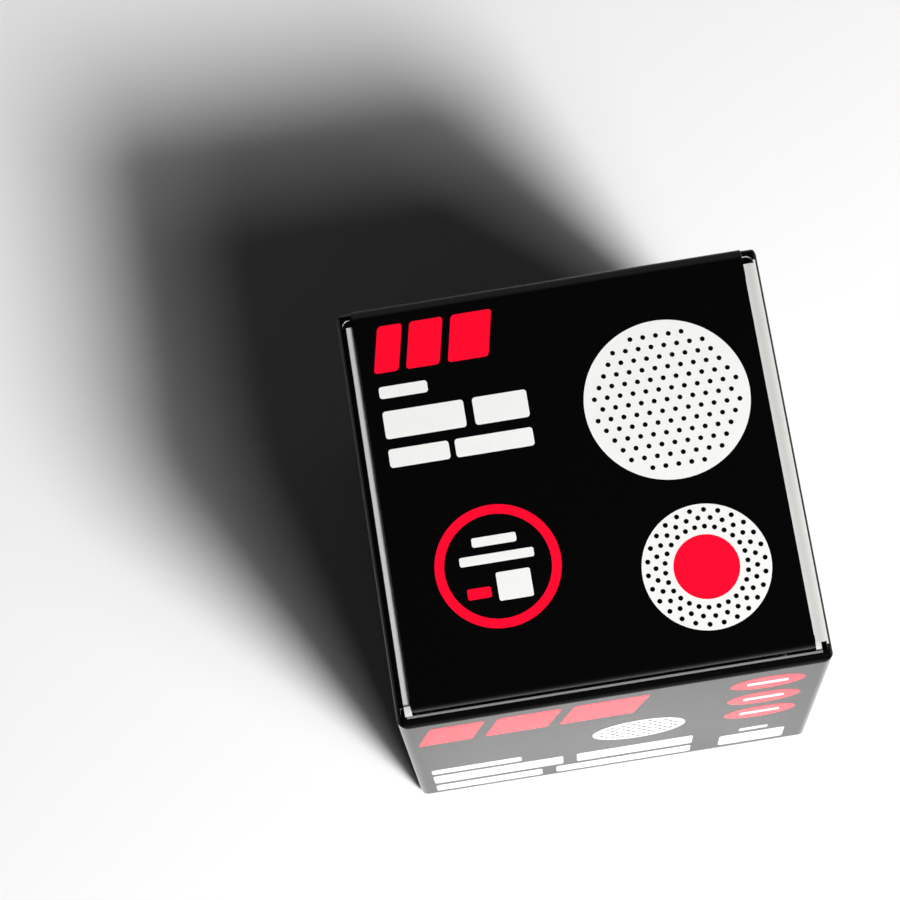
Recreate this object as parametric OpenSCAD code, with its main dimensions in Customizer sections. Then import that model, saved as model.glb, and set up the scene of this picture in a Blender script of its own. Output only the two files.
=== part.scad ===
// Tuck-end carton of twelve rubber finger tips.
// Millimetres, +Z up. The origin is the middle of the underside and the front panel faces -Y.

/* [Carton] */
// Outside width of the carton
carton_w = 58; // [48:0.5:80]
// Outside depth of the carton
carton_d = 58; // [48:0.5:80]
// Outside height of the carton, over both closures
carton_h = 58; // [44:0.5:100]
// Thickness of the board
board_t = 0.45; // [0.3:0.05:0.6]
// Outside radius of every fold of the carton
fold_r = 1.3; // [0.9:0.05:1.8]
// Width of the lip that is turned in round each open end
lip_w = 1.4; // [1.3:0.05:1.6]

/* [Dust flaps] */
// Length of a dust flap from the outside of its side panel
dust_len = 22; // [14:0.5:25]
// Distance from the back of the carton to a dust flap under the lid
dust_back = 4.4; // [3.6:0.1:7]
// Distance from the front of the carton to a dust flap under the lid
dust_front = 3.6; // [3.2:0.1:7]
// Distance from the back of the carton to the root of a dust flap beside the lid
dust_root_back = 2.3; // [2.1:0.05:3]
// Width of the slit between the root and the back panel
slit_back = 1.1; // [0.5:0.05:1.2]
// Width of the slit between the root and the lip
slit_front = 1.2; // [0.8:0.05:1.4]
// How far both slits stop short of the outside of the side panel
slit_end = 0.65; // [0.5:0.05:1]
// Corner radius of the slit at the back
slit_back_r = 1; // [0.5:0.05:1]
// Corner radius of the slit at the front
slit_front_r = 0.3; // [0.2:0.05:0.5]
// How far the free end of a dust flap is cut back on its hinge side
dust_taper = 5; // [1:0.5:9]
// Corner radius of the free end of a dust flap
dust_corner_r = 2.5; // [1:0.25:4]

/* [Lid and bottom flap] */
// Margin between the edge of a closure and the outside of the carton
lid_margin = 2.2; // [1.9:0.05:3]
// Length of the tuck flap
tuck_len = 13; // [8:0.5:16]
// Inward lean of the tuck flap in degrees
tuck_lean = 6; // [5.5:0.5:10]
// Outside radius of the tuck fold
tuck_fold_r = 0.9; // [0.7:0.05:1.4]
// How much narrower the tuck flap is than the lid, on each side
tuck_inset = 0.3; // [0.1:0.05:1.5]
// Corner radius of the tuck flap
tuck_corner_r = 4.5; // [2:0.5:6]

/* [Glue seam] */
// Width of the glue flap inside the left panel
glue_w = 12; // [8:0.5:16]
// How far the glue flap stops short of both ends
glue_setback = 4; // [3.6:0.1:8]
// Slant of the ends of the glue flap
glue_slant = 3; // [1:0.5:5]
// Width and depth of the seam line where the left panel ends
seam_w = 0.15; // [0.1:0.05:0.2]

/* [Finger tip] */
// How much narrower the bore is where the dome begins than at the mouth
tip_taper = 3; // [2:0.1:4]
// Thickness of the wall under the nubs
tip_wall = 0.75; // [0.6:0.05:0.9]
// Extra thickness at the closed end
tip_end_extra = 0.35; // [0:0.05:0.8]
// Height of the smooth band above the rim
band_h = 3.6; // [2:0.1:5]
// Thickness that the band adds to the wall
band_step = 0.3; // [0.1:0.05:0.4]
// Height of the rolled rim
rim_h = 3.2; // [2.2:0.1:4]
// Thickness that the rim adds to the wall
rim_step = 0.55; // [0.3:0.05:0.6]

/* [Nubs] */
// Radius of one nub
nub_r = 0.42; // [0.3:0.02:0.5]
// Distance between rows of nubs
nub_pitch = 2.05; // [1.7:0.05:2.6]
// Nubs in one row round the body
nub_count = 12; // [9:1:15]
// Distance from the band to the first row of nubs
nub_start = 1.2; // [0.8:0.1:2]
// Rows of nubs on the dome that are as full as those on the body
dome_rows = 2; // [1:1:2]
// Nubs in the ring round the nub at the closed end
end_nub_count = 7; // [5:1:8]
// Height of the ridge left between two nubs of a row
nub_foot = 0.02; // [0.01:0.01:0.05]

/* [Clearances] */
// Gap between a closure and the dust flaps that it lies on
seat_gap = 0.1; // [0.05:0.05:0.3]
// Gap round the hinge folds
hinge_gap = 0.06; // [0.05:0.01:0.12]
// Gap between a finger tip and what it lies on
rest_gap = 0.15; // [0.1:0.05:0.3]
// Gap between the finger tips and the side panels
side_gap = 0.2; // [0.1:0.05:0.4]
// Gap between neighbouring rows of finger tips
row_gap = 0.7; // [0.2:0.1:1]
// Gap between the closed ends or mouths of two finger tips that meet in a row
end_gap = 0.1; // [0.05:0.05:1]
// Gap between the finger tips and the free ends of the tuck flaps
tuck_room = 1.74; // [0.5:0.01:3]
// Gap between a tuck fold and the lip in front of it
lip_gap = 0.3; // [0.1:0.05:0.8]

/* [Hidden] */
$fn = 64;
// How far a cutting shape reaches past what it cuts
over = 1;

// Carton
shell_z0 = board_t + seat_gap;
shell_h = carton_h - 2 * shell_z0;
mid_z = carton_h / 2;
fold_inner_r = fold_r - board_t;

// Closure, drawn for the top: the hinge is at the back
lid_w = carton_w - 2 * lid_margin;
shoulder_x = lid_w / 2 + 2 * hinge_gap;
lip_y = -carton_d / 2 + lip_w;
root_front_y = lip_y + slit_front;
root_back_y = carton_d / 2 - dust_root_back;
hinge_y = carton_d / 2 - fold_r;
hinge_z = carton_h - fold_r;
hinge_skirt = fold_r;
hinge_cut_r = sqrt(fold_r * fold_r + hinge_skirt * hinge_skirt) + hinge_gap;
tuck_setback = lip_w + lip_gap;
tuck_y = -carton_d / 2 + tuck_setback + tuck_fold_r;
tuck_z = carton_h - tuck_fold_r;
tuck_reach = tuck_setback + tuck_fold_r + tuck_len * sin(tuck_lean)
             - (tuck_fold_r - board_t) * cos(tuck_lean);

// Finger tip, drawn standing on its mouth: three rims share the depth behind the tuck flaps
rim_r = (carton_d - board_t - side_gap - 2 * row_gap - tuck_room - tuck_reach) / 6;
rim_roll = (tip_wall + rim_step) / 2;
rim_seat = rim_h - rim_roll;
mouth_r = rim_r - 2 * rim_roll;
bore_top_r = mouth_r - tip_taper / 2;
dome_r = bore_top_r + tip_wall;
band_top = rim_h + band_h;

// Two leaning finger tips share the width, and how far they lean depends on their length
half_row = (carton_w - 3 * board_t - 2 * side_gap - end_gap) / 2;
dome_z = settled_dome_z(half_row - dome_r);
tip_len = dome_z + dome_r;
bore_top_z = dome_z - tip_end_extra;
body_rows = floor((dome_z - band_top - nub_start) / nub_pitch) + 1;
nub_rows = body_rows + dome_rows;
dome_step = nub_pitch / dome_r * 180 / PI;
first_dome_angle = (band_top + nub_start + body_rows * nub_pitch - dome_z) / dome_r * 180 / PI;
body_slope = atan((mouth_r + tip_wall - dome_r) / dome_z);

// Finger tip lying on its rim and on a nub near the dome
lie_tilt = lean_of(dome_z);
lie_slope = tan(lie_tilt);
lie_h = rim_r * cos(lie_tilt) + rim_seat * sin(lie_tilt);

// Second layer: the same tips turned end for end, on axes parallel to those of the first
layer_x = tip_len * cos(lie_tilt) + nub_r - rim_r * sin(lie_tilt);
layer_gap = (2 * rim_r + rest_gap + lie_slope * (2 * rim_seat - layer_x / cos(lie_tilt)))
            / (1 - lie_slope * lie_slope);
layer_shift = layer_x / cos(lie_tilt) - layer_gap * lie_slope;
layer_top = 2 * lie_h - layer_shift * sin(lie_tilt) + layer_gap * cos(lie_tilt);

// Places of the finger tips in the carton
floor_z = shell_z0 + board_t + rest_gap;
row_pitch = 2 * rim_r + row_gap;
row_y0 = carton_d / 2 - board_t - side_gap - rim_r;
rim_reach = rim_r * sin(lie_tilt);
left_x = -carton_w / 2 + 2 * board_t + side_gap + rim_reach;
right_x = carton_w / 2 - board_t - side_gap - rim_reach;

black = [0.03, 0.03, 0.035];
amber = [0.80, 0.52, 0.22];

// A rectangle with round corners, centred on the origin
module round_rect(w, d, r) {
    square([w - 2 * r, d], center = true);
    square([w, d - 2 * r], center = true);
    for (x = [-1, 1], y = [-1, 1])
        translate([x * (w / 2 - r), y * (d / 2 - r)])
            circle(r);
}

// A block whose twelve edges are rounded, centred on the origin
module folded_block(w, d, h, r) {
    intersection() {
        translate([0, 0, -h / 2])
            linear_extrude(h)
                round_rect(w, d, r);
        rotate([90, 0, 0])
            translate([0, 0, -d / 2 - over])
                linear_extrude(d + 2 * over)
                    round_rect(w, h, r);
        rotate([90, 0, 90])
            translate([0, 0, -w / 2 - over])
                linear_extrude(w + 2 * over)
                    round_rect(d, h, r);
    }
}

// A dust flap seen from above, on the right side of the carton: its root is wider beside the lid
module dust_flap_outline() {
    root = carton_w / 2;
    end = carton_w / 2 - dust_len;
    front = -carton_d / 2 + dust_front;
    back = carton_d / 2 - dust_back;
    r = dust_corner_r;
    difference() {
        polygon([[root, root_front_y], [root, root_back_y], [shoulder_x, root_back_y],
                 [shoulder_x, back], [end + r, back - dust_taper + r], [end, back - dust_taper],
                 [end, front], [shoulder_x, front], [shoulder_x, root_front_y]]);
        translate([end, front])
            corner_cut(r);
        translate([end, back - dust_taper])
            mirror([0, 1])
                corner_cut(r);
    }
}

// The slits that free both ends of a dust flap's root, on the right side of the carton
module dust_slits() {
    inner = shoulder_x - 2 * slit_back_r;
    outer = carton_w / 2 - slit_end;
    translate([inner, root_back_y + slit_back - 2 * slit_back_r - over])
        rounded_patch(outer - inner, 2 * slit_back_r + over, slit_back_r);
    translate([inner, lip_y])
        rounded_patch(outer - inner, root_front_y - lip_y + over, slit_front_r);
}

// A rectangle with round corners, with its low corner at the origin
module rounded_patch(w, d, r) {
    translate([w / 2, d / 2])
        round_rect(w, d, r);
}

// What a rounded corner takes off a square corner at the origin
module corner_cut(r) {
    difference() {
        translate([-over, -over])
            square(r + over);
        translate([r, r])
            circle(r);
    }
}

// Cuts one end of the carton open: the mouth inside the lip, the slits beside the dust flaps, and
// the seat of the hinge fold
module end_opening() {
    translate([0, 0, carton_h - fold_r - over])
        linear_extrude(fold_r + 2 * over)
            difference() {
                union() {
                    translate([-shoulder_x, lip_y])
                        square([2 * shoulder_x, carton_d - 2 * lip_w]);
                    for (side = [0, 1])
                        mirror([side, 0])
                            dust_slits();
                }
                for (side = [0, 1])
                    mirror([side, 0])
                        dust_flap_outline();
            }
    translate([-shoulder_x, hinge_y, hinge_z])
        rotate([90, 0, 90])
            linear_extrude(2 * shoulder_x) {
                circle(hinge_cut_r);
                translate([-hinge_cut_r, 0])
                    square([2 * hinge_cut_r, fold_r + over]);
            }
}

// Mirrors what is drawn for the top, so that it closes the bottom and hinges at the back too
module at_bottom() {
    translate([0, 0, carton_h])
        mirror([0, 0, 1])
            children();
}

// Glue flap inside the left panel, carried on from the back panel
module glue_flap() {
    back = carton_d / 2 - board_t;
    low = glue_setback;
    high = carton_h - glue_setback;
    translate([-carton_w / 2 + board_t, 0, 0])
        rotate([90, 0, 90])
            linear_extrude(board_t)
                polygon([[back, low], [back, high], [back - glue_w, high - glue_slant],
                         [back - glue_w, low + glue_slant]]);
}

// Seam line at the back left corner, where the left panel ends
module seam_line() {
    translate([-carton_w / 2 - over, carton_d / 2 - fold_r - seam_w, -over])
        cube([over + seam_w, seam_w, carton_h + 2 * over]);
}

module carton() {
    color(black)
        difference() {
            union() {
                difference() {
                    translate([0, 0, mid_z])
                        folded_block(carton_w, carton_d, shell_h, fold_r);
                    translate([0, 0, mid_z])
                        folded_block(carton_w - 2 * board_t, carton_d - 2 * board_t,
                                     shell_h - 2 * board_t, fold_inner_r);
                    end_opening();
                    at_bottom()
                        end_opening();
                }
                glue_flap();
            }
            seam_line();
        }
}

// Points along an arc
function arc(middle, r, from, to, steps = 12) =
    [for (i = [0 : steps])
        let (angle = from + (to - from) * i / steps)
        middle + r * [cos(angle), sin(angle)]];

// The closure from its hinge skirt over the panel to the end of the tuck flap, in the YZ plane
module closure_section() {
    hinge = [hinge_y, hinge_z];
    tuck = [tuck_y, tuck_z];
    tuck_from = 180 + tuck_lean;
    tuck_out = [cos(tuck_lean), sin(tuck_lean)];
    tuck_end = tuck + tuck_len * [sin(tuck_lean), -cos(tuck_lean)];
    polygon(concat(
        [hinge + [fold_r, -hinge_skirt]],
        arc(hinge, fold_r, 0, 90),
        arc(tuck, tuck_fold_r, 90, tuck_from),
        [tuck_end - tuck_fold_r * tuck_out, tuck_end - (tuck_fold_r - board_t) * tuck_out],
        arc(tuck, tuck_fold_r - board_t, tuck_from, 90),
        arc(hinge, fold_inner_r, 90, 0),
        [hinge + [fold_inner_r, -hinge_skirt]]
    ));
}

// What narrows the tuck flap below the panel and rounds its two free corners
module tuck_corner_cuts() {
    translate([0, tuck_y, tuck_z])
        rotate([90 + tuck_lean, 0, 0])
            linear_extrude(tuck_fold_r + over)
                for (side = [0, 1])
                    mirror([side, 0]) {
                        translate([-lid_w / 2 - over, -tuck_len - over])
                            square([tuck_inset + over, tuck_len + over + board_t + seat_gap]);
                        translate([-lid_w / 2 + tuck_inset, -tuck_len])
                            corner_cut(tuck_corner_r);
                    }
}

module closure() {
    difference() {
        translate([-lid_w / 2, 0, 0])
            rotate([90, 0, 90])
                linear_extrude(lid_w)
                    closure_section();
        tuck_corner_cuts();
    }
}

module lid() {
    color(black)
        closure();
}

module bottom_flap() {
    color(black)
        at_bottom()
            closure();
}

// Radius of the tapered body at a height
function body_r(z) = mouth_r + tip_wall - (mouth_r + tip_wall - dome_r) * z / dome_z;

// Middle of a row of nubs in the half section, on the body or on the dome
function nub_place(row) =
    row < body_rows
    ? let (z = band_top + nub_start + row * nub_pitch) [body_r(z), z]
    : let (angle = first_dome_angle + (row - body_rows) * dome_step)
      [dome_r * cos(angle), dome_z + dome_r * sin(angle)];

// Angle at which a row of nubs stands out of the surface
function nub_angle(row) =
    row < body_rows ? body_slope : first_dome_angle + (row - body_rows) * dome_step;

// What the inside of a finger tip takes away
module bore_section() {
    polygon([[0, 0], [mouth_r, 0], [mouth_r, rim_roll], [bore_top_r, bore_top_z],
             [0, bore_top_z]]);
    translate([0, bore_top_z])
        circle(bore_top_r);
}

// Lean of a lying finger tip whose dome begins at dome_at, on its rim and on a nub under the dome
function lean_of(dome_at) =
    let (nub_z = dome_at - 1, body_taper = mouth_r + tip_wall - dome_r)
    atan((rim_r - dome_r - body_taper / dome_at - nub_r) / (nub_z - rim_seat));

// Height where the dome begins, for a tip that lies in half a row: the sum repeats until it settles
function settled_dome_z(dome_at, turns = 6) =
    turns == 0 ? dome_at
    : let (lean = lean_of(dome_at))
      settled_dome_z((half_row - rim_r * sin(lean) - nub_r) / cos(lean) - dome_r, turns - 1);

// Half section of a finger tip: a rolled rim, a smooth band, a tapered body and a dome,
// with a ridge for each row of nubs and a nub at the closed end
module tip_section() {
    difference() {
        union() {
            polygon([[0, rim_roll], [body_r(rim_roll) + band_step, rim_roll],
                     [body_r(band_top) + band_step, band_top],
                     [body_r(band_top + band_step), band_top + band_step],
                     [dome_r, dome_z], [0, dome_z]]);
            translate([0, dome_z])
                intersection() {
                    circle(dome_r);
                    square(2 * dome_r);
                }
            translate([mouth_r, rim_roll])
                square([2 * rim_roll, rim_h - 2 * rim_roll]);
            for (z = [rim_roll, rim_h - rim_roll])
                translate([mouth_r + rim_roll, z])
                    circle(rim_roll);
            for (row = [0 : nub_rows])
                translate(nub_place(row))
                    circle(nub_r, $fn = 24);
            intersection() {
                translate([0, tip_len])
                    circle(nub_r, $fn = 24);
                translate([0, dome_z])
                    square(2 * dome_r);
            }
        }
        bore_section();
    }
}

// Section of what is cut out of one ridge between two nubs
module gap_section(row) {
    translate(nub_place(row))
        rotate(nub_angle(row))
            translate([nub_foot, -1.2 * nub_r])
                square([1.2 * nub_r, 2.4 * nub_r]);
}

// Cuts the ridges into nubs, with every second row turned by half a step
module nub_gaps() {
    step = 360 / nub_count;
    gap = step - 2 * nub_r / dome_r * 180 / PI;
    for (parity = [0, 1], i = [0 : nub_count - 1])
        rotate([0, 0, (i + parity / 2) * step])
            rotate_extrude(angle = gap)
                for (row = [parity : 2 : nub_rows - 1])
                    gap_section(row);
    end_step = 360 / end_nub_count;
    for (i = [0 : end_nub_count - 1])
        rotate([0, 0, i * end_step])
            rotate_extrude(angle = end_step - 2 * nub_r / nub_place(nub_rows)[0] * 180 / PI)
                gap_section(nub_rows);
}

// A finger tip standing on its mouth
module finger_tip() {
    difference() {
        rotate_extrude()
            tip_section();
        nub_gaps();
    }
}

// A finger tip lying on its side, with its mouth over the origin and its dome towards +X
module lying_tip(turn) {
    translate([0, 0, lie_h])
        rotate([0, 90 + lie_tilt, 0])
            rotate([0, 0, turn])
                finger_tip();
}

// A finger tip in its place: two layers of two columns and three rows
module placed_tip(number) {
    layer = floor((number - 1) / 6);
    side = floor((number - 1) / 3) % 2;
    row = (number - 1) % 3;
    color(amber)
        translate([side == 0 ? left_x : right_x, row_y0 - row * row_pitch, floor_z])
            mirror([side, 0, 0])
                if (layer == 0)
                    lying_tip(number * 7);
                else
                    translate([layer_x, 0, layer_top])
                        rotate([0, 180, 0])
                            lying_tip(number * 7);
}

carton();
lid();
bottom_flap();
for (number = [1 : 12])
    placed_tip(number);
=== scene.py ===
from math import cos, pi, sin, sqrt

import bpy
from mathutils import Matrix, Vector


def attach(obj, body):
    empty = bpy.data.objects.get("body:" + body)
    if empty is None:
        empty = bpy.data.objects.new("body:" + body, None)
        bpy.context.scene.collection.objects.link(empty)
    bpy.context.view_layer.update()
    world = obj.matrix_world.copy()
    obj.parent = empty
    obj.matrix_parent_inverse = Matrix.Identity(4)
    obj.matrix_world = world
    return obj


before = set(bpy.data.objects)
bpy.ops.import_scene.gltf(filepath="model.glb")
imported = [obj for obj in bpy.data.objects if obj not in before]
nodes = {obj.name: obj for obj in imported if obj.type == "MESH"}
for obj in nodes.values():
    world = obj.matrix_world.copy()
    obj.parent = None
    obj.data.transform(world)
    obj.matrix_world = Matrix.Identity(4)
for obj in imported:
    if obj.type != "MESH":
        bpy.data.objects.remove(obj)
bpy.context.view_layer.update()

bpy.ops.object.select_all(action="DESELECT")

# The carton is one sheet of bleached board, printed black and laminated on the outside, then die-cut,
# creased and folded, with its left panel glued over a flap of the back panel. The dust flaps stay
# unprinted beside the closures. A margin along each lip is unprinted board, and is mixed back
# towards the black print as painted shade from the lid.
MM = 0.001
half_w = 29 * MM
half_d = 29 * MM
mid_z = 29 * MM
shell_half_h = 28.45 * MM
fold_r = 1.3 * MM
ink_depth = 0.09 * MM
lip_edge = 27.6 * MM
lip_margin = 0.3 * MM
# White share left on the lip margin; the rest is black mixed in as painted shade from the lid
shaded_lip_white_share = 0.4
flap_white_left = -27.84 * MM
flap_white_right = 28.63 * MM
flap_white_front = -26.8 * MM
flap_white_back = 27.2 * MM
flap_white_drop = 0.45 * MM

print_black = (0.0019, 0.0019, 0.0022, 1)
board_white = (0.53, 0.525, 0.51, 1)
# Grey of the painted highlight on the closures' folds
painted_highlight_grey = (0.2, 0.2, 0.2, 1)
laminate_rough = 0.07
laminate_ior = 1.16
board_rough = 0.62
board_cloud = 0.08
relief = {"Strength": 0.35, "Distance": 0.02 * MM}
peel_share = 0.12


def add_node(tree, kind, inputs=None, **settings):
    """Adds a shader node, sets what it does, and fills its inputs with values or with other outputs."""
    made = tree.nodes.new("ShaderNode" + kind)
    for name, value in settings.items():
        setattr(made, name, value)
    for socket, value in (inputs or {}).items():
        if isinstance(value, bpy.types.NodeSocket):
            tree.links.new(value, made.inputs[socket])
        else:
            made.inputs[socket].default_value = value
    return made


def sums(tree, operation, *values):
    """One step of arithmetic on numbers."""
    return add_node(tree, "Math", dict(enumerate(values)), operation=operation).outputs[0]


def vectors(tree, operation, *values):
    """One step of arithmetic on vectors."""
    made = add_node(tree, "VectorMath", dict(enumerate(values)), operation=operation)
    return made.outputs["Value" if operation == "LENGTH" else "Vector"]


def mixed(tree, share, first, second):
    """A colour between two colours."""
    made = add_node(tree, "Mix", data_type="RGBA")
    for socket, value in (("Factor_Float", share), ("A_Color", first), ("B_Color", second)):
        target = [s for s in made.inputs if s.identifier == socket][0]
        if isinstance(value, bpy.types.NodeSocket):
            tree.links.new(value, target)
        else:
            target.default_value = value
    return [s for s in made.outputs if s.identifier == "Result_Color"][0]


def between(tree, value, low, high):
    """One where a number lies between two others, and zero elsewhere."""
    above = sums(tree, "GREATER_THAN", value, low)
    return sums(tree, "MULTIPLY", above, sums(tree, "LESS_THAN", value, high))


def start_group(name, inputs, outputs):
    """An empty node group with number inputs, and outputs given as name to socket type."""
    group = bpy.data.node_groups.new(name, "ShaderNodeTree")
    for socket, value in inputs.items():
        made = group.interface.new_socket(socket, in_out="INPUT", socket_type="NodeSocketFloat")
        made.default_value = value
    for socket, kind in outputs.items():
        group.interface.new_socket(socket, in_out="OUTPUT", socket_type="NodeSocket" + kind)
    return group, group.nodes.new("NodeGroupInput"), group.nodes.new("NodeGroupOutput")


def use_group(tree, group, **inputs):
    """Places a node group and gives it its values."""
    made = add_node(tree, "Group", node_tree=group)
    for socket, value in inputs.items():
        made.inputs[socket.replace("_", " ").capitalize()].default_value = value
    return made


def noise(tree, place, scale, detail, **more):
    """Noise at a scale in waves per metre, as a number."""
    inputs = {"Vector": place, "Scale": scale, "Detail": detail}
    inputs.update(more)
    return add_node(tree, "TexNoise", inputs).outputs[0]


peel_scale = 900.0
sag_scale = 55.0
sag_weight = 6.0
rough_drift = 0.05


def laminate_group():
    """Film over the print: a faint orange peel, and a roughness that drifts a little."""
    group, given, out = start_group(
        "laminate_film", {"Roughness": laminate_rough}, {"Roughness": "Float", "Height": "Float"})
    place = add_node(group, "TexCoord").outputs["Object"]
    peel = noise(group, place, peel_scale, 2.0)
    sag = noise(group, place, sag_scale, 1.0)
    drift = sums(group, "MULTIPLY_ADD", sag, rough_drift, -rough_drift / 2)
    group.links.new(sums(group, "ADD", given.outputs["Roughness"], drift), out.inputs["Roughness"])
    group.links.new(sums(group, "MULTIPLY_ADD", sag, sag_weight, peel), out.inputs["Height"])
    return group


cloud_scale = 260.0
fibre_scale = 1900.0
fibre_stretch = (1.0, 3.2, 1.0)
fibre_roughness = 0.7
fibre_tone = 0.06
speck_scale = 1400.0
speck_limit = 0.76
speck_tone = 0.045


def fibre_group():
    """Bare side of the board: short fibres, a cloudy formation and faint specks."""
    group, given, out = start_group(
        "board_fibre", {"Cloud": board_cloud}, {"Shade": "Float", "Height": "Float"})
    place = add_node(group, "TexCoord").outputs["Object"]
    cloud = noise(group, place, cloud_scale, 3.0)
    long_way = add_node(group, "Mapping", {"Vector": place, "Scale": fibre_stretch}).outputs[0]
    strand = noise(group, long_way, fibre_scale, 4.0, Roughness=fibre_roughness)
    speck = noise(group, place, speck_scale, 0.0)
    dark_speck = sums(group, "MULTIPLY", sums(group, "GREATER_THAN", speck, speck_limit), speck_tone)
    tone = sums(group, "MULTIPLY", sums(group, "SUBTRACT", cloud, 0.5), given.outputs["Cloud"])
    grain = sums(group, "MULTIPLY_ADD", strand, fibre_tone, -fibre_tone / 2)
    shade = sums(group, "SUBTRACT", sums(group, "ADD", tone, grain), dark_speck)
    group.links.new(sums(group, "ADD", shade, 1.0), out.inputs["Shade"])
    group.links.new(strand, out.inputs["Height"])
    return group


film = laminate_group()
fibre = fibre_group()


def close_material(tree, shader):
    """Joins the last shader to the material's output."""
    out = add_node(tree, "OutputMaterial")
    tree.links.new(shader.outputs[0], out.inputs["Surface"])


def finish_board(tree, printed, fold_highlight=0.0):
    """Board with its laminated print where printed is 1, the print greyed towards a painted highlight by
    the fold highlight share, and bare white elsewhere.
    """
    paper = use_group(tree, fibre, cloud=board_cloud)
    gloss = use_group(tree, film, roughness=laminate_rough)
    white = vectors(tree, "MULTIPLY", board_white[:3], paper.outputs["Shade"])
    # The black print is greyed towards the painted highlight on the folds
    print_tone = mixed(tree, fold_highlight, print_black, painted_highlight_grey)
    colour = mixed(tree, printed, white, print_tone)
    step = sums(tree, "SUBTRACT", gloss.outputs["Roughness"], board_rough)
    rough = sums(tree, "MULTIPLY_ADD", printed, step, board_rough)
    bare = sums(tree, "SUBTRACT", 1.0, printed)
    height = sums(tree, "ADD", sums(tree, "MULTIPLY", gloss.outputs["Height"], peel_share),
                  sums(tree, "MULTIPLY", paper.outputs["Height"], bare))
    bump = add_node(tree, "Bump", {"Height": height, **relief})
    close_material(tree, add_node(tree, "BsdfPrincipled", {
        "Base Color": colour, "Roughness": rough, "Normal": bump.outputs[0], "IOR": laminate_ior}))


def start_material(name):
    """An empty node material."""
    made = bpy.data.materials.new(name)
    made.use_nodes = True
    made.node_tree.nodes.clear()
    return made, made.node_tree


def carton_board():
    """Print reaches in from the outer skin by a hair, so every cut edge shows the white board."""
    made, tree = start_material("carton_board")
    place = add_node(tree, "TexCoord").outputs["Object"]
    from_mid = vectors(tree, "ABSOLUTE", vectors(tree, "SUBTRACT", place, (0, 0, mid_z)))
    flat_part = (half_w - fold_r, half_d - fold_r, shell_half_h - fold_r)
    past = vectors(tree, "MAXIMUM", vectors(tree, "SUBTRACT", from_mid, flat_part), (0, 0, 0))
    skin = 0.0
    for plane in ((1, 1, 0), (0, 1, 1), (1, 0, 1)):
        reach = vectors(tree, "LENGTH", vectors(tree, "MULTIPLY", past, plane))
        skin = sums(tree, "MAXIMUM", reach, skin)
    inked = sums(tree, "GREATER_THAN", skin, fold_r - ink_depth)

    xyz = add_node(tree, "SeparateXYZ", {"Vector": place}).outputs
    away = add_node(tree, "SeparateXYZ", {"Vector": from_mid}).outputs
    on_flap = between(tree, xyz["Y"], flap_white_front, flap_white_back)
    on_flap = sums(tree, "MULTIPLY", on_flap, between(tree, xyz["X"], flap_white_left, flap_white_right))
    # The lip margin is bare board, greyed with the black print as painted shade under the lid's front
    # edge
    shaded_lip_margin = between(tree, xyz["Y"], -lip_edge - lip_margin, flap_white_front)
    shaded_lip_margin = sums(tree, "MULTIPLY", shaded_lip_margin, sums(tree, "LESS_THAN", away["X"], lip_edge))
    shaded_lip_margin = sums(tree, "MULTIPLY", shaded_lip_margin, shaded_lip_white_share)
    on_end = sums(tree, "GREATER_THAN", away["Z"], shell_half_h - flap_white_drop)
    bare = sums(tree, "MULTIPLY", on_end, sums(tree, "MAXIMUM", shaded_lip_margin, on_flap))
    finish_board(tree, sums(tree, "MULTIPLY", inked, sums(tree, "SUBTRACT", 1.0, bare)))
    return made


nodes["carton"].data.materials.clear()
nodes["carton"].data.materials.append(carton_board())

# At the front end of each dust flap a tongue of the board stays between the slit and the mouth. Its
# print is torn off, it turns down from the flap to the lip, and it shows beside the lid.
tongue_back = -26.3 * MM
tongue_front = -27.62 * MM
tongue_top = 28.43 * MM
tongue_drop = 0.34 * MM
tongue_thick = 0.3 * MM
tongue_inner = 26.84 * MM
tongue_outer = {"left": 27.8 * MM, "right": 27.6 * MM}


def bare_board():
    """The unprinted side of the board."""
    made, tree = start_material("bare_board")
    paper = use_group(tree, fibre, cloud=board_cloud)
    white = vectors(tree, "MULTIPLY", board_white[:3], paper.outputs["Shade"])
    bump = add_node(tree, "Bump", {"Height": paper.outputs["Height"], **relief})
    close_material(tree, add_node(tree, "BsdfPrincipled", {
        "Base Color": white, "Roughness": board_rough, "Normal": bump.outputs[0]}))
    return made


def add_tongue(name, side, outer, up):
    """A narrow strip that starts level with the dust flap and curls down to the cut edge of the lip."""
    bpy.ops.mesh.primitive_grid_add(x_subdivisions=4, y_subdivisions=12, size=1)
    piece = bpy.context.object
    for vertex in piece.data.vertices:
        across, back = vertex.co.x + 0.5, vertex.co.y + 0.5
        vertex.co.x = side * (tongue_inner + across * (outer - tongue_inner))
        vertex.co.y = tongue_front + back * (tongue_back - tongue_front)
        vertex.co.z = mid_z + up * (tongue_top - tongue_drop * (1 - back) ** 2)
    wall = piece.modifiers.new("board", "SOLIDIFY")
    wall.thickness = tongue_thick
    wall.offset = -1.0 * up
    bpy.ops.object.modifier_apply(modifier="board")
    bpy.ops.object.mode_set(mode="EDIT")
    bpy.ops.mesh.select_all(action="SELECT")
    bpy.ops.mesh.normals_make_consistent(inside=False)
    bpy.ops.object.mode_set(mode="OBJECT")
    piece.name = name
    piece.data.name = name
    piece.data.materials.append(board_material)
    bpy.ops.object.select_all(action="DESELECT")
    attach(piece, "carton")


board_material = bare_board()
for end, up in (("top", 1), ("bottom", -1)):
    for side_name, side in (("left", -1), ("right", 1)):
        add_tongue("tongue_%s_%s" % (end, side_name), side, tongue_outer[side_name], up)

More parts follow.
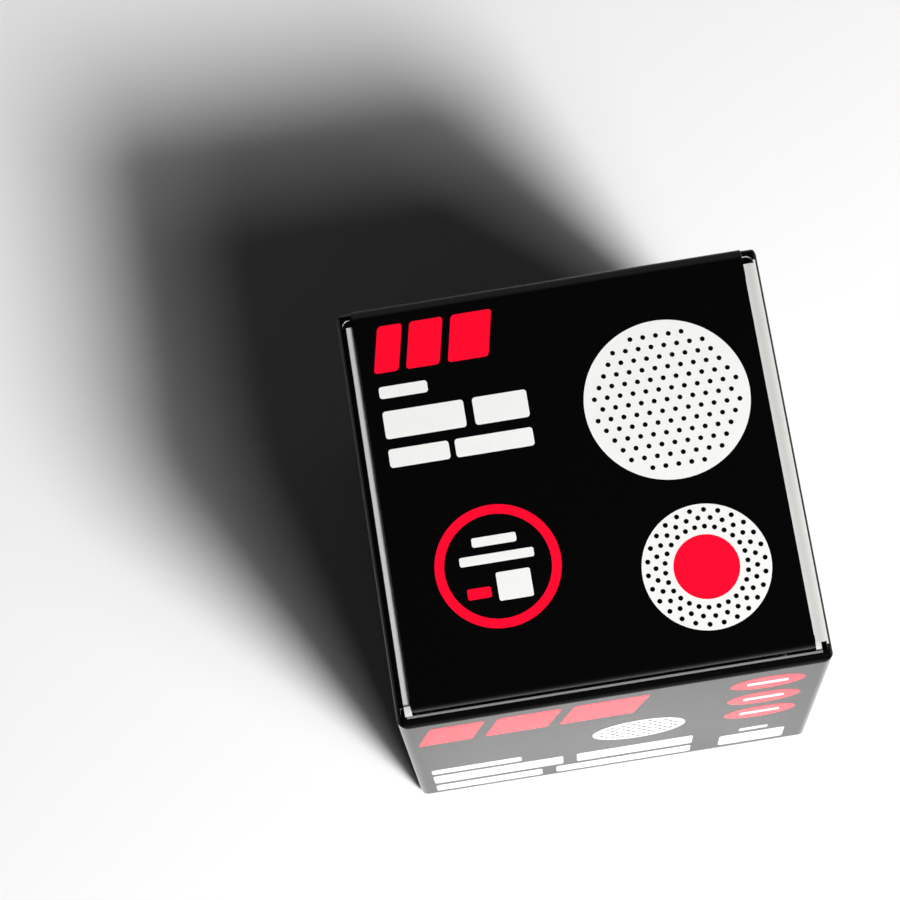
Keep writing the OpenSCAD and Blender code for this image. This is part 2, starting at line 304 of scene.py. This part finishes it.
# The lid and the bottom flap are the same sheet's end panels with their tuck flaps. They are printed
# and laminated on the outside, and the print bleeds a little way past the tuck fold. Both folds carry
# a painted highlight: their black is greyed, strongly on the tuck fold and faintly on the hinge fold,
# to stand for the reflections that these rounded folds catch.
closure_z = {"lid": (58 * MM, 1), "bottom_flap": (0.0, -1)}
tuck_bleed = 4.5 * MM
highlight_depth = 0.5 * MM
outward_limit = 0.3
tuck_fold_highlight = {"start": 26.4 * MM, "width": 0.95 * MM, "sharpness": 5.0, "share": 0.8}
hinge_fold_highlight = {"start": 27.45 * MM, "width": 1.5 * MM, "sharpness": 1.0, "share": 0.2}


def fold_highlight_share(tree, place, start, width, sharpness, share):
    """How much painted highlight greys a fold: from nothing at its start to its full share where the
    board has turned.
    """
    reach = sums(tree, "DIVIDE", sums(tree, "SUBTRACT", place, start), width)
    reach = sums(tree, "MINIMUM", sums(tree, "MAXIMUM", reach, 0.0), 1.0)
    return sums(tree, "MULTIPLY", sums(tree, "POWER", reach, sharpness), share)


def closure_board(name, outer_z, up):
    """Print lies on the side that faces out: up, back over the hinge fold, and forward over the tuck."""
    made, tree = start_material(name)
    coords = add_node(tree, "TexCoord")
    place = add_node(tree, "SeparateXYZ", {"Vector": coords.outputs["Object"]})
    facing = add_node(tree, "SeparateXYZ", {"Vector": coords.outputs["Normal"]})
    side = sums(tree, "SIGN", place.outputs["Y"])
    outward = sums(tree, "MULTIPLY_ADD", facing.outputs["Y"], side,
                   sums(tree, "MULTIPLY", facing.outputs["Z"], float(up)))
    inked = sums(tree, "GREATER_THAN", outward, outward_limit)
    below = sums(tree, "ABSOLUTE", sums(tree, "SUBTRACT", place.outputs["Z"], outer_z))
    in_bleed = sums(tree, "LESS_THAN", below, tuck_bleed)
    forward = sums(tree, "MULTIPLY", place.outputs["Y"], -1.0)
    # Painted highlight on the tuck and hinge folds, kept to the top of the panel
    fold_highlight = sums(tree, "MAXIMUM", fold_highlight_share(tree, forward, **tuck_fold_highlight),
                  fold_highlight_share(tree, place.outputs["Y"], **hinge_fold_highlight))
    fold_highlight = sums(tree, "MULTIPLY", fold_highlight, sums(tree, "LESS_THAN", below, highlight_depth))
    finish_board(tree, sums(tree, "MULTIPLY", inked, in_bleed), fold_highlight)
    return made


for node_name, (outer_z, up) in closure_z.items():
    nodes[node_name].data.materials.clear()
    nodes[node_name].data.materials.append(closure_board(node_name + "_board", outer_z, up))

# The finger tips are dipped in amber latex, with staggered nubs for grip, a smooth band and a rolled
# rim. They are dusted with powder so that they don't stick together, and lie loose in two layers.
latex_amber = (0.60, 0.285, 0.062, 1)
latex_pale = (0.74, 0.47, 0.19, 1)
latex_rough = 0.36
latex_ior = 1.52
latex_cloud_scale = 140.0
powder_scale = 2600.0
powder_limit = 0.33
powder_share = 0.35
cloud_share = 0.35
dry_rough = 0.35
latex_relief = {"Strength": 0.25, "Distance": 0.03 * MM}
latex_depth = {"Subsurface Weight": 0.35, "Subsurface Radius": (1.6 * MM, 0.8 * MM, 0.3 * MM),
               "Subsurface Scale": 1.0}


def latex():
    """Satin latex, a little see-through, with powder dusted on in patches."""
    made, tree = start_material("amber_latex")
    place = add_node(tree, "TexCoord").outputs["Object"]
    cloud = noise(tree, place, latex_cloud_scale, 3.0)
    dust = noise(tree, place, powder_scale, 3.0)
    patch = sums(tree, "MULTIPLY", cloud, dust)
    powder = sums(tree, "MULTIPLY", sums(tree, "GREATER_THAN", patch, powder_limit), powder_share)
    tone = sums(tree, "ADD", sums(tree, "MULTIPLY", cloud, cloud_share), powder)
    colour = mixed(tree, tone, latex_amber, latex_pale)
    rough = sums(tree, "MULTIPLY_ADD", tone, dry_rough, latex_rough)
    bump = add_node(tree, "Bump", {"Height": dust, **latex_relief})
    close_material(tree, add_node(tree, "BsdfPrincipled", {
        "Base Color": colour, "Roughness": rough, "Normal": bump.outputs[0], "IOR": latex_ior,
        **latex_depth}))
    return made


latex_material = latex()
tip_count = 12
for number in range(1, tip_count + 1):
    tip = nodes["finger_tip_%d" % number]
    tip.data.materials.clear()
    tip.data.materials.append(latex_material)

# The print on the lid is white and red ink under the laminate: a row of slanted red blocks, white
# bars, a ring, and two dotted discs. Each ink is a skin a few hundredths of a millimetre thick. The
# sizes and places of the print are in millimetres.
lid_top = 58 * MM
ink_sink = 0.006 * MM
ink_rise = 0.016 * MM
ink_white = (0.84, 0.84, 0.82, 1)
ink_red = (1.0, 0.004, 0.028, 1)
press_scale = 700.0
press_drift = 0.05


def ink(name, colour):
    """Printing ink under the laminate, with the press's faint unevenness."""
    made, tree = start_material(name)
    gloss = use_group(tree, film, roughness=laminate_rough)
    place = add_node(tree, "TexCoord").outputs["Object"]
    shade = sums(tree, "MULTIPLY_ADD", noise(tree, place, press_scale, 2.0), press_drift,
                 1.0 - press_drift / 2)
    tint = vectors(tree, "MULTIPLY", colour[:3], shade)
    height = sums(tree, "MULTIPLY", gloss.outputs["Height"], peel_share)
    bump = add_node(tree, "Bump", {"Height": height, **relief})
    close_material(tree, add_node(tree, "BsdfPrincipled", {
        "Base Color": tint, "Roughness": gloss.outputs["Roughness"], "Normal": bump.outputs[0],
        "IOR": laminate_ior}))
    return made


inks = {"white": ink("white_ink", ink_white), "red": ink("red_ink", ink_red),
        "black": ink("black_ink", print_black)}


def on_lid(x, y):
    """A place on the lid, in millimetres to the right of and behind its middle."""
    return Matrix.Translation((x * MM, y * MM, lid_top))


def on_front(x, z):
    """A place on the front panel, in millimetres to the right of its middle and above the floor."""
    return Matrix.Translation((x * MM, -half_d, z * MM)) @ Matrix.Rotation(pi / 2, 4, "X")


def thicken(layer=0):
    """Gives the selected flat shape the thickness of the ink, a little higher for each layer."""
    low = -ink_sink + layer * ink_rise
    bpy.ops.object.mode_set(mode="EDIT")
    bpy.ops.mesh.select_all(action="SELECT")
    bpy.ops.transform.translate(value=(0, 0, low))
    bpy.ops.mesh.extrude_region_move(TRANSFORM_OT_translate={"value": (0, 0, ink_sink + ink_rise)})
    bpy.ops.mesh.select_all(action="SELECT")
    bpy.ops.mesh.normals_make_consistent(inside=False)
    bpy.ops.object.mode_set(mode="OBJECT")


def ink_disc(radius, stretch=1.0, hole=0.0, points=96, layer=0):
    """A printed disc, oval or ring, centred on the origin."""
    bpy.ops.mesh.primitive_circle_add(vertices=points, radius=radius * MM, fill_type="NGON")
    disc = bpy.context.object
    bpy.ops.object.mode_set(mode="EDIT")
    if hole:
        bpy.ops.mesh.inset(thickness=(radius - hole) * MM)
        bpy.ops.mesh.delete(type="FACE")
        bpy.ops.mesh.select_all(action="SELECT")
    bpy.ops.transform.resize(value=(stretch, 1, 1))
    bpy.ops.object.mode_set(mode="OBJECT")
    thicken(layer)
    return disc


def ink_bar(length, height, corner, slant=0.0, layer=0):
    """A printed bar with round corners, leaning over by slant from its lower to its upper edge."""
    bpy.ops.mesh.primitive_plane_add(size=1)
    bar = bpy.context.object
    bpy.ops.object.mode_set(mode="EDIT")
    bpy.ops.mesh.select_all(action="SELECT")
    bpy.ops.transform.resize(value=(length * MM, height * MM, 1))
    bpy.ops.mesh.bevel(offset=corner * MM, segments=8, affect="VERTICES")
    bpy.ops.object.mode_set(mode="OBJECT")
    for vertex in bar.data.vertices:
        vertex.co.x += slant * vertex.co.y / height
    thicken(layer)
    return bar


def put(piece, place):
    """Moves a finished shape to its place on a panel, with the place kept in its mesh."""
    piece.data.transform(place)
    bpy.ops.object.select_all(action="DESELECT")
    return piece


def copy_of(piece):
    """A copy with its own mesh."""
    made = piece.copy()
    made.data = piece.data.copy()
    bpy.context.scene.collection.objects.link(made)
    return made


def join(name, parts, material, body):
    """Joins the shapes of one ink into one piece that rides with its panel."""
    bpy.ops.object.select_all(action="DESELECT")
    for part in parts:
        part.select_set(True)
    bpy.context.view_layer.objects.active = parts[0]
    if len(parts) > 1:
        bpy.ops.object.join()
    piece = bpy.context.object
    piece.name = name
    piece.data.name = name
    piece.data.materials.clear()
    piece.data.materials.append(material)
    bpy.ops.object.select_all(action="DESELECT")
    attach(piece, body)


def dots_on_disc(radius, pitch, dot_r, margin):
    """Places for dots on a disc, in rows that are staggered like brickwork."""
    places = []
    row_step = pitch * sqrt(3) / 2
    rows = int(radius / row_step) + 1
    for row in range(-rows, rows + 1):
        y = row * row_step
        shift = pitch / 2 if row % 2 else 0.0
        for column in range(-rows - 1, rows + 2):
            x = column * pitch + shift
            if sqrt(x * x + y * y) < radius - margin - dot_r:
                places.append((x, y))
    return places


# Lid, red: a row of slanted blocks at the back left
block_y = 22.7
block_h = 6.6
block_corner = 0.5
block_slant = 1.4
blocks = []
for x, length in ((-22.6, 3.4), (-17.6, 4.6), (-11.4, 5.6)):
    blocks.append(put(ink_bar(length, block_h, block_corner, slant=block_slant), on_lid(x, block_y)))
join("lid_red_blocks", blocks, inks["red"], "lid")

# Lid, white: three lines of bars in front of the blocks, each with its place, length and height
bar_corner = 0.45
bar_places = ((-21.4, 16.6, 6.6, 1.7), (-19.2, 12.0, 11.0, 3.9), (-8.8, 12.0, 7.4, 3.9),
              (-20.6, 7.3, 8.2, 2.6), (-10.4, 7.3, 10.6, 2.6))
bars = []
for x, y, length, height in bar_places:
    bars.append(put(ink_bar(length, height, min(bar_corner, height / 4)), on_lid(x, y)))
join("lid_white_lines", bars, inks["white"], "lid")

# Lid: a ring as wide as a finger tip's rim, with bars in it
ring_x, ring_y = -12.6, -9.6
ring_outer_r = 8.45
ring_inner_r = 7.15
ring_bar_corner = 0.3
ring = put(ink_disc(ring_outer_r, hole=ring_inner_r), on_lid(ring_x, ring_y))
join("lid_red_ring", [ring], inks["red"], "lid")
ring_bars = []
for x, y, length, height in ((ring_x, -6.0, 6.0, 1.3), (ring_x, -8.4, 10.0, 1.3),
                             (-10.8, -12.4, 4.6, 3.9)):
    ring_bars.append(put(ink_bar(length, height, ring_bar_corner), on_lid(x, y)))
join("lid_ring_lines", ring_bars, inks["white"], "lid")
red_bar = put(ink_bar(3.2, 1.5, ring_bar_corner), on_lid(-15.6, -12.9))
join("lid_ring_mark", [red_bar], inks["red"], "lid")

# Lid: a large and a small disc, the large one with rows of dots and the small one with rings of dots
big_x, big_y, big_r = 13.4, 9.4, 11.2
small_x, small_y, small_r = 14.6, -14.2, 8.6
red_r = 4.4
disc_points = 128
big_disc = put(ink_disc(big_r, points=disc_points), on_lid(big_x, big_y))
join("lid_large_disc", [big_disc], inks["white"], "lid")
small_disc = put(ink_disc(small_r, points=disc_points), on_lid(small_x, small_y))
join("lid_small_disc", [small_disc], inks["white"], "lid")
join("lid_red_disc", [put(ink_disc(red_r, layer=1), on_lid(small_x, small_y))], inks["red"], "lid")
lid_dot_r = 0.34
lid_dot_pitch = 1.75
lid_dot_margin = 0.9
dots_in_ring = 26
half_step = pi / dots_in_ring
dot = ink_disc(lid_dot_r, points=14, layer=1)
dots = []
for x, y in dots_on_disc(big_r, lid_dot_pitch, lid_dot_r, lid_dot_margin):
    dots.append(put(copy_of(dot), on_lid(big_x + x, big_y + y)))
for step in range(dots_in_ring):
    angle = 2 * pi * step / dots_in_ring
    for dot_ring_r, turn in ((5.5, 0.0), (6.7, half_step), (7.8, 0.0)):
        x = small_x + dot_ring_r * cos(angle + turn)
        y = small_y + dot_ring_r * sin(angle + turn)
        dots.append(put(copy_of(dot), on_lid(x, y)))
join("lid_black_dots", dots, inks["black"], "lid")

# The print on the front panel repeats the lid's inks in the same thickness: three slanted blocks at
# the top, bars below them, three ovals with a bar in each, and a small dotted disc.
front_block_z = 47.6
front_block_h = 11.4
front_block_corner = 0.6
front_block_slant = 2.2
oval_x = 20.6
oval_places = (48.6, 38.0, 27.4)
oval_r = 3.9
oval_stretch = 1.3
front_blocks = []
for x, length in ((-22.4, 7.4), (-12.6, 8.6), (-1.6, 10.2)):
    block = ink_bar(length, front_block_h, front_block_corner, slant=front_block_slant)
    front_blocks.append(put(block, on_front(x, front_block_z)))
for z in oval_places:
    front_blocks.append(put(ink_disc(oval_r, stretch=oval_stretch), on_front(oval_x, z)))
join("front_red_shapes", front_blocks, inks["red"], "carton")

front_bar_corner = 0.6
front_bar_places = ((-20.0, 19.4, 13.0, 3.4), (-17.0, 12.9, 19.0, 6.2), (3.0, 12.9, 17.0, 6.2),
                    (-18.6, 5.6, 15.8, 4.8), (1.4, 5.6, 20.0, 4.8), (20.4, 14.2, 4.2, 2.0),
                    (20.4, 7.4, 9.6, 7.4))
oval_bar = (5.6, 1.5, 0.3)
front_disc_x, front_disc_z, front_disc_r = 3.4, 28.6, 6.6
front_bars = []
for x, z, length, height in front_bar_places:
    front_bars.append(put(ink_bar(length, height, min(front_bar_corner, height / 5)), on_front(x, z)))
for z in oval_places:
    front_bars.append(put(ink_bar(*oval_bar, layer=1), on_front(oval_x, z)))
front_bars.append(put(ink_disc(front_disc_r), on_front(front_disc_x, front_disc_z)))
join("front_white_shapes", front_bars, inks["white"], "carton")

front_dot_pitch = 1.5
front_dot_room = 0.3
front_dot_margin = 0.5
front_dots = []
for x, y in dots_on_disc(front_disc_r, front_dot_pitch, front_dot_room, front_dot_margin):
    front_dots.append(put(copy_of(dot), on_front(front_disc_x + x, front_disc_z + y)))
join("front_black_dots", front_dots, inks["black"], "carton")
bpy.data.objects.remove(dot)

# The set: a white floor that fades into a white backdrop, a soft lamp inside a wider and weaker one at
# the front right, and a studio that is pale along the horizon and dark overhead.
floor_radius = 3.0
floor_white = (0.95, 0.95, 0.95, 1)
fade_from = 0.16
fade_to = 0.5
lamp_place = (0.413, -0.641, 0.647)
horizon_tone = 0.9
horizon_height = 0.05
overhead_tone = 0.015
overhead_height = 0.11
pure_white = (1, 1, 1, 1)

bpy.ops.mesh.primitive_circle_add(vertices=64, radius=floor_radius, fill_type="NGON")
floor = bpy.context.object
floor.name = "floor"
floor_material, floor_tree = start_material("floor_white")
floor_shader = add_node(floor_tree, "BsdfPrincipled", {
    "Base Color": floor_white, "Roughness": 0.6, "Specular IOR Level": 0.2})
from_box = vectors(floor_tree, "LENGTH", add_node(floor_tree, "TexCoord").outputs["Object"])
fade = add_node(floor_tree, "MapRange", {"Value": from_box, "From Min": fade_from, "From Max": fade_to},
                interpolation_type="SMOOTHSTEP")
floor_path = add_node(floor_tree, "LightPath").outputs
seen = sums(floor_tree, "MAXIMUM", floor_path["Is Camera Ray"], floor_path["Is Glossy Ray"])
far_share = sums(floor_tree, "MULTIPLY", fade.outputs["Result"], seen)
backdrop_white = add_node(floor_tree, "Emission", {"Color": pure_white, "Strength": 1.0})
close_material(floor_tree, add_node(floor_tree, "MixShader", {
    0: far_share, 1: floor_shader.outputs[0], 2: backdrop_white.outputs[0]}))
floor.data.materials.append(floor_material)


def lamp(name, place, size, power):
    """A round soft lamp that points at the middle of the carton's underside."""
    data = bpy.data.lights.new(name, "AREA")
    data.shape = "DISK"
    data.size = size
    data.energy = power
    made = bpy.data.objects.new(name, data)
    made.location = place
    made.rotation_euler = (-Vector(place)).to_track_quat("-Z", "Y").to_euler()
    bpy.context.scene.collection.objects.link(made)


lamp("key", lamp_place, 0.256, 11.9)
lamp("key_halo", lamp_place, 0.592, 4.9)

world = bpy.data.worlds.new("studio")
bpy.context.scene.world = world
world.use_nodes = True
world.node_tree.nodes.clear()
sky = world.node_tree
look = add_node(sky, "TexCoord").outputs["Generated"]
rise = add_node(sky, "SeparateXYZ", {"Vector": look}).outputs["Z"]
ramp = add_node(sky, "ValToRGB", {"Fac": rise})
low, high = ramp.color_ramp.elements
low.position = horizon_height
low.color = (horizon_tone, horizon_tone, horizon_tone, 1)
high.position = overhead_height
high.color = (overhead_tone, overhead_tone, overhead_tone, 1)
in_view = add_node(sky, "LightPath").outputs["Is Camera Ray"]
backdrop = mixed(sky, in_view, ramp.outputs["Color"], pure_white)
surround = add_node(sky, "Background", {"Color": backdrop, "Strength": 1.0})
sky_out = add_node(sky, "OutputWorld")
sky.links.new(surround.outputs[0], sky_out.inputs["Surface"])

# The camera stands where the photograph was taken from, high over the front of the carton and turned
# by nine degrees. Its place and its lens were solved from the carton's outline.
camera_data = bpy.data.cameras.new("camera")
camera_data.sensor_width = 36
camera_data.lens = 117.3
camera = bpy.data.objects.new("camera", camera_data)
camera.matrix_world = Matrix((
    (0.98725, 0.15915, 0.00433, -0.01476),
    (-0.15199, 0.95023, -0.27197, -0.09975),
    (-0.0474, 0.26784, 0.9623, 0.43647),
    (0, 0, 0, 1)))
bpy.context.scene.collection.objects.link(camera)
bpy.context.scene.camera = camera
bpy.context.scene.view_settings.view_transform = "Standard"
